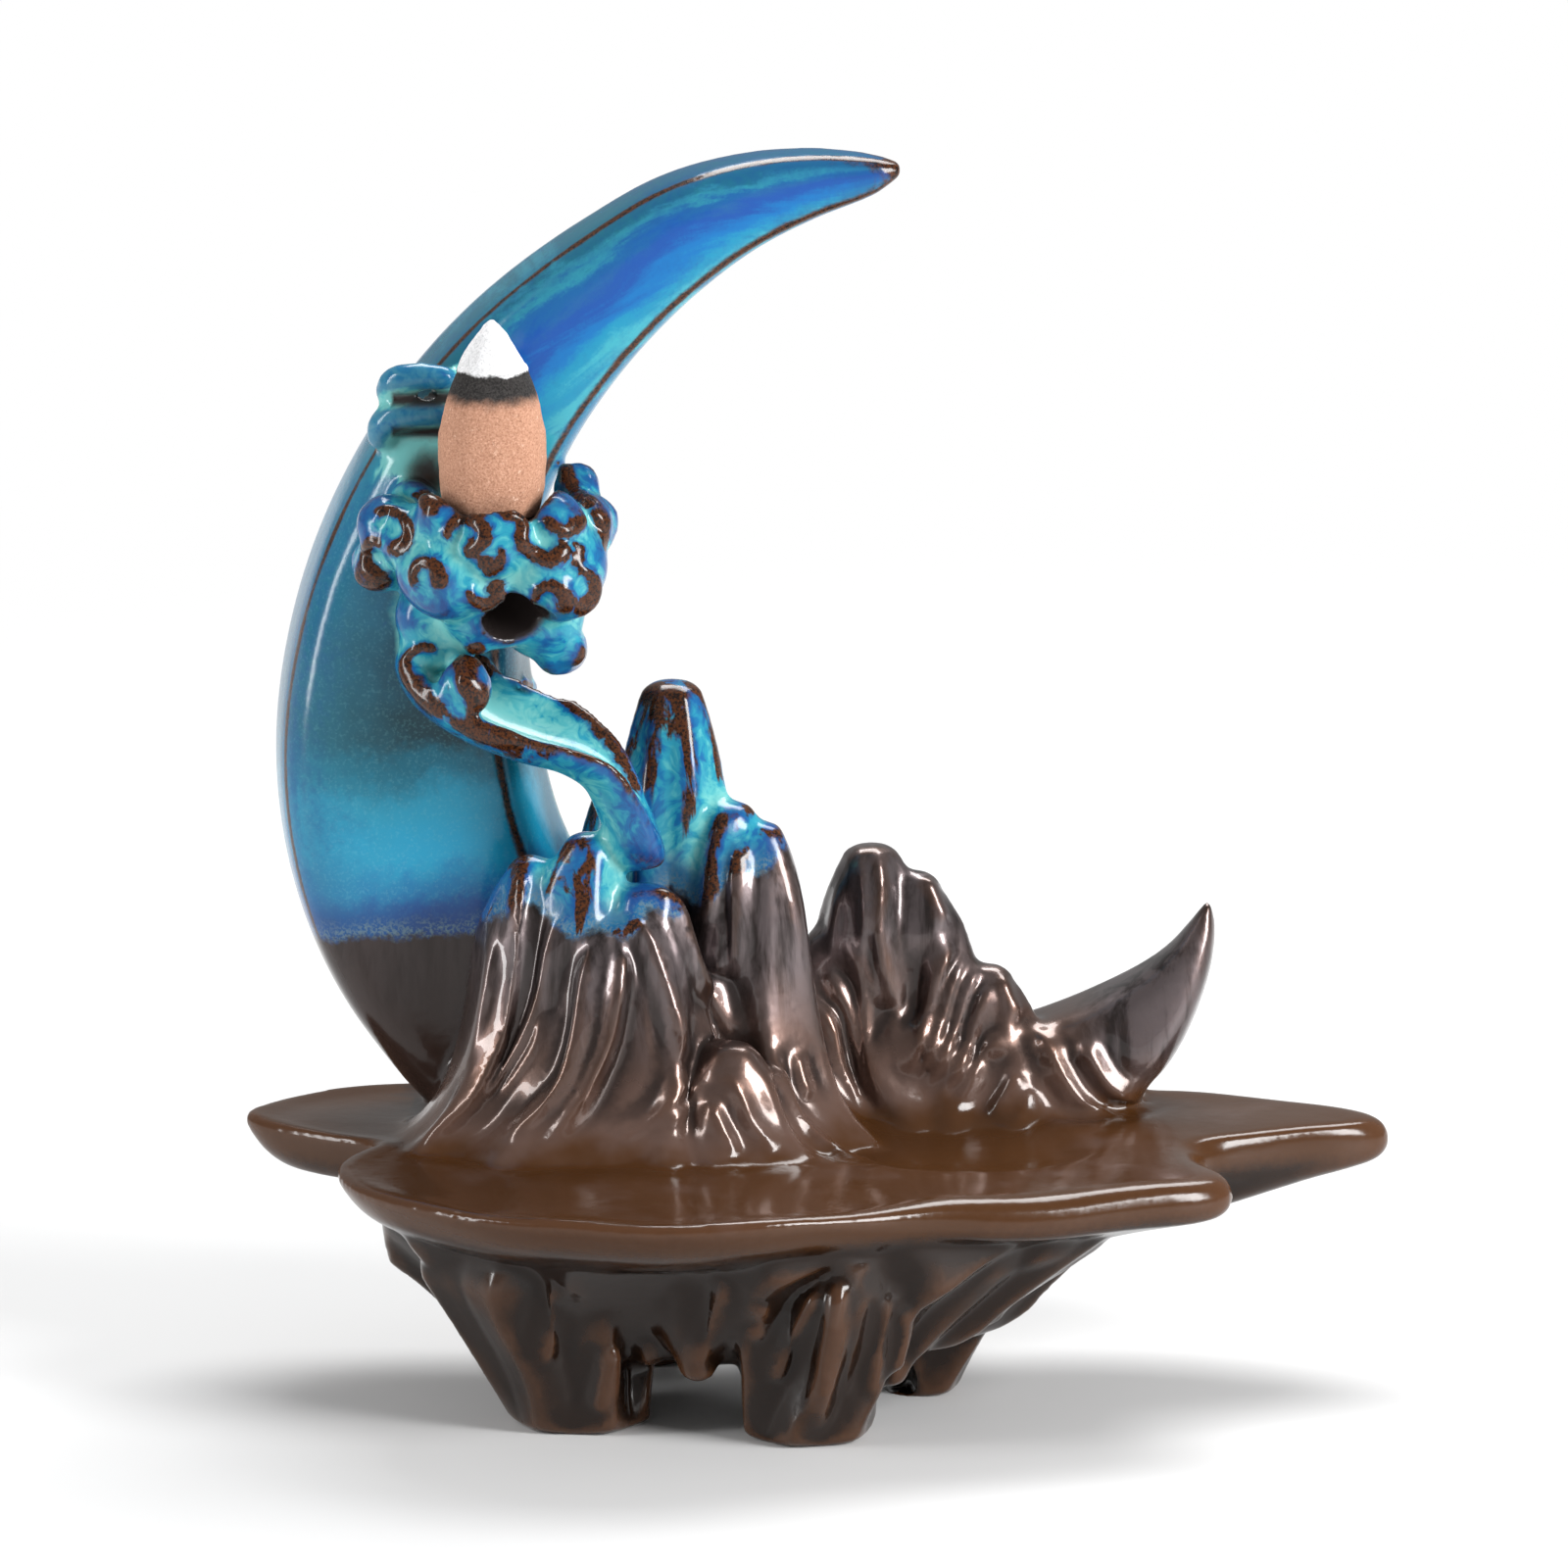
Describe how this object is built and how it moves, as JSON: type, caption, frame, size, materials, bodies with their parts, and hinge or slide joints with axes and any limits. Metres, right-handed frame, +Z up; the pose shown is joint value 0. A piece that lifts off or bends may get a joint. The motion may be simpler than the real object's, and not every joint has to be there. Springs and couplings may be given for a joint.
{
  "type": "backflow incense burner",
  "caption": "Glazed ceramic incense burner: a crescent moon over fluted peaks on a rocky plateau, with a cloud that holds a cone whose smoke sinks down a chute into a shallow pool.",
  "frame": {"origin": "middle of the footprint of the whole part, on the table the feet stand on", "axes": "+Z up; +Y away from the viewer, so the cloud, the chute and the pool face -Y; +X to the viewer's right, towards the lower horn"},
  "size_m": [0.1526, 0.0806, 0.1626],
  "materials": {
    "burner_body": "gloss reactive glaze, metallic brown below and streaked blue and turquoise above",
    "incense_cone": "matte pressed wood powder, charred near the tip, with a cap of white ash"
  },
  "bodies": {
    "root": {"burner_body": "burner_body", "incense_cone": "incense_cone"}
  },
  "joints": []
}
